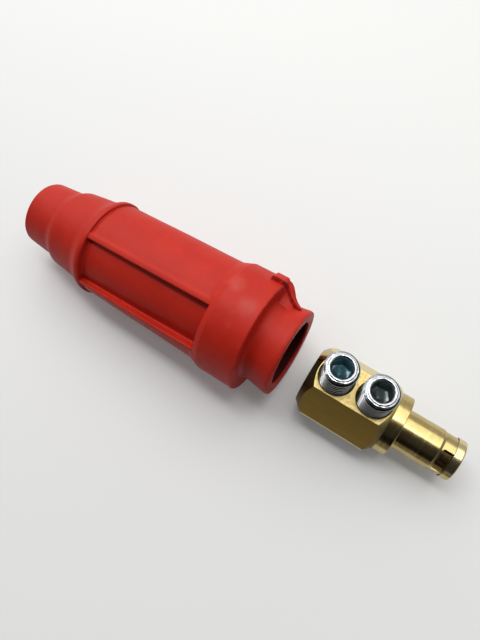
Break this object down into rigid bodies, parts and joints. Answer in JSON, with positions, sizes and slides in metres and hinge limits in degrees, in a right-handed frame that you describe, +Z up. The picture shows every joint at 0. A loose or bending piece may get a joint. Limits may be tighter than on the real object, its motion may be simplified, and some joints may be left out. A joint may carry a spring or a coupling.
{
  "type": "welding cable plug",
  "caption": "Cable plug for welding leads, taken apart: a red rubber sleeve with grip windows and a key, and a brass contact with a cable bore, set screws and a plain locking pin.",
  "frame": {"origin": "centre of the bounding box's base, on the surface that the pieces lie on", "axes": "+X along the plug towards the tip of the pin, +Z up"},
  "size_m": [0.1452, 0.035, 0.0354],
  "materials": {
    "red_rubber": "satin, moulded",
    "bare_brass": "turned and milled, unplated",
    "zinc_steel": "bright zinc plated"
  },
  "bodies": {
    "plug": {"rubber_sleeve": "red_rubber", "brass_contact": "bare_brass"},
    "rear_screw": {"rear_set_screw": "zinc_steel"},
    "front_screw": {"front_set_screw": "zinc_steel"}
  },
  "joints": [
    {"name": "rear_screw_travel", "type": "slide", "parent": "plug", "child": "rear_screw", "axis": [0, 0, 1], "range_m": [-0.011, 0.001]},
    {"name": "front_screw_travel", "type": "slide", "parent": "plug", "child": "front_screw", "axis": [0, 0, 1], "range_m": [-0.011, 0.001]}
  ]
}
